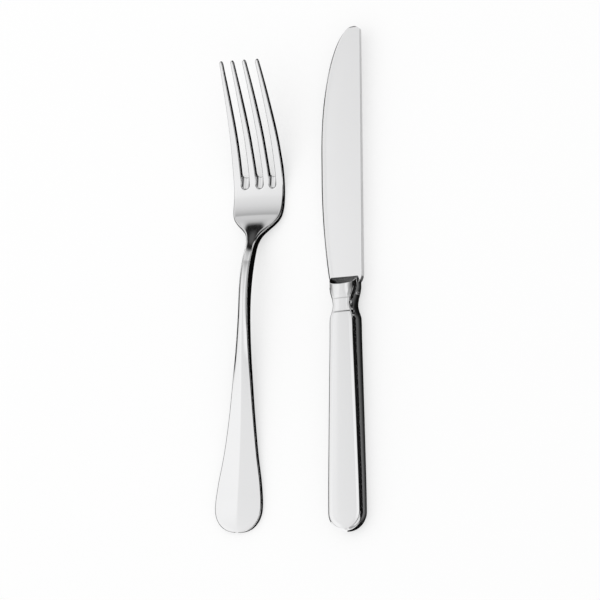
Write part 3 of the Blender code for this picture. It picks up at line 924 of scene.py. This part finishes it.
# Flags: the name, X of the left and of the right edge at both ends, Y of the ends, the
# height of the right edge, and the greys from left to right.
FLAGS = (
    ("flag_fork", (-28.0, -25.0), (-2.0, 34.0), (-112.0, 118.0), LOW, DARK),
    ("flag_knife", (28.0, 30.0), (460.0, 460.0), (-118.0, -0.5), LOW, SIDE_BAND),
    ("flag_fork_left", (-260.0, -260.0), (-30.0, -21.5), (-118.0, 25.0), LOW, DARK),
    ("flag_knife_left", (11.0, 14.0), (21.5, 24.0), (-112.0, -3.0), LOW, DARK),
    ("flag_blade", (38.0, 38.0), (60.0, 60.0), (-0.5, 118.0), LOW, SPINE_GREY),
    ("flag_waist", (60.0, 60.0), (460.0, 460.0), (-0.5, 180.0), LOW, DARK),
    ("flag_tips", (-90.0, -90.0), (34.0, 34.0), (119.0, 330.0), LOW, DARK),
    ("flag_butt", (46.5, 46.5), (48.5, 48.5), (-180.0, -104.0), 11.0, DARK),
)


def make_flag(name, left, right, ends, lift, stops):
    """Sheet by the pieces that shows only in their reflections, as dark or grey bands."""
    material = bpy.data.materials.new(name)
    material.use_nodes = True
    nodes = material.node_tree.nodes
    links = material.node_tree.links
    shader = nodes["Principled BSDF"]
    set_input(shader, "Specular IOR Level", 0.0)
    set_input(shader, "Roughness", 1.0)
    split = nodes.new("ShaderNodeSeparateXYZ")
    links.new(nodes.new("ShaderNodeTexCoord").outputs["Object"], split.inputs["Vector"])
    across = nodes.new("ShaderNodeMapRange")
    set_input(across, "From Min", left[0] * MM)
    set_input(across, "From Max", right[0] * MM)
    links.new(split.outputs["X"], across.inputs["Value"])
    links.new(level_at(nodes, links, across.outputs["Result"], stops), shader.inputs["Base Color"])
    near, far = ends
    corners = (
        (left[0], near, LOW), (right[0], near, lift), (right[1], far, lift), (left[1], far, LOW))
    flag = flat_sheet(name, corners, material)
    flag.visible_camera = False
    flag.visible_diffuse = False
    flag.visible_shadow = False
    flag.visible_transmission = False


CAMERA_LEAN = 29.74
CAMERA_PITCH = 8.41
HANDLE_ENDS = (0.003938, -0.113209, 0.0)
PICTURE_MIDDLE = 0.104
SENSOR = 36.0


def make_camera(scene, s):
    """Long lens over the handle ends, leaning to the right, aimed at the middle."""
    lean = np.radians(CAMERA_LEAN)
    pitch = np.radians(CAMERA_PITCH)
    right = Vector((np.cos(lean), 0.0, -np.sin(lean)))
    back = Vector((np.cos(pitch) * np.sin(lean), -np.sin(pitch), np.cos(pitch) * np.cos(lean)))
    foot = Vector(HANDLE_ENDS)
    place = foot + s.distance * MM * back
    middle = foot + PICTURE_MIDDLE * back.cross(right)
    axis = (place - middle).normalized()
    camera = bpy.data.objects.new("camera", bpy.data.cameras.new("camera"))
    scene.collection.objects.link(camera)
    turn = Matrix((right, axis.cross(right), axis)).transposed().to_4x4()
    camera.matrix_world = Matrix.Translation(place) @ turn
    camera.data.sensor_width = SENSOR
    camera.data.lens = SENSOR * (place - middle).length / (s.frame * MM)
    camera.data.clip_start = 0.01
    scene.camera = camera


def make_lamp(scene, name, place, side, watts):
    """Square lamp aimed at the middle of the floor, and left out of reflections."""
    data = bpy.data.lights.new(name, "AREA")
    data.shape = "SQUARE"
    data.size = side
    data.energy = watts
    lamp = bpy.data.objects.new(name, data)
    scene.collection.objects.link(lamp)
    turn = (-Vector(place)).to_track_quat("-Z", "Y").to_matrix().to_4x4()
    lamp.matrix_world = Matrix.Translation(place) @ turn
    lamp.visible_glossy = False


class MakeStage(bpy.types.Operator):
    """Make the floor, the light and the camera"""
    bl_idname = "cutlery.make_stage"
    bl_label = "Make stage"

    def execute(self, context):
        scene = context.scene
        s = in_mm(scene.stage_sizes)
        make_world(scene)
        half = 0.5 * s.floor
        corners = ((-half, -half, 0), (half, -half, 0), (half, half, 0), (-half, half, 0))
        flat_sheet("floor", corners, floor_material(s.floor_colour))
        for flag in FLAGS:
            make_flag(*flag)
        make_lamp(scene, "soft_top", (-0.35, 0.2, 0.9), 1.0, 1.2)
        make_camera(scene, s)
        scene.view_settings.view_transform = "Standard"
        return {"FINISHED"}


class CutleryPanel(bpy.types.Panel):
    """Buttons for the pieces and the stage, with the fork's and knife's main sizes"""
    bl_idname = "VIEW3D_PT_cutlery"
    bl_label = "Table cutlery"
    bl_space_type = "VIEW_3D"
    bl_region_type = "UI"
    bl_category = "Cutlery"

    def draw(self, context):
        layout = self.layout
        for kind in (MakeFork, MakeKnife, MakeStage):
            layout.operator(kind.bl_idname)
        for name in ("long", "slot", "ridge", "colour"):
            layout.prop(context.scene.fork_sizes, name)
        for name in ("long", "blade", "colour", "blade_colour"):
            layout.prop(context.scene.knife_sizes, name)


CLASSES = (ForkSizes, KnifeSizes, StageSizes, MakeFork, MakeKnife, MakeStage, CutleryPanel)


def register():
    for item in CLASSES:
        bpy.utils.register_class(item)
    bpy.types.Scene.fork_sizes = bpy.props.PointerProperty(type=ForkSizes)
    bpy.types.Scene.knife_sizes = bpy.props.PointerProperty(type=KnifeSizes)
    bpy.types.Scene.stage_sizes = bpy.props.PointerProperty(type=StageSizes)


def unregister():
    del bpy.types.Scene.fork_sizes
    del bpy.types.Scene.knife_sizes
    del bpy.types.Scene.stage_sizes
    for item in reversed(CLASSES):
        bpy.utils.unregister_class(item)


def main():
    register()
    bpy.ops.cutlery.make_fork()
    bpy.ops.cutlery.make_knife()
    bpy.ops.cutlery.make_stage()


if __name__ == "__main__":
    main()
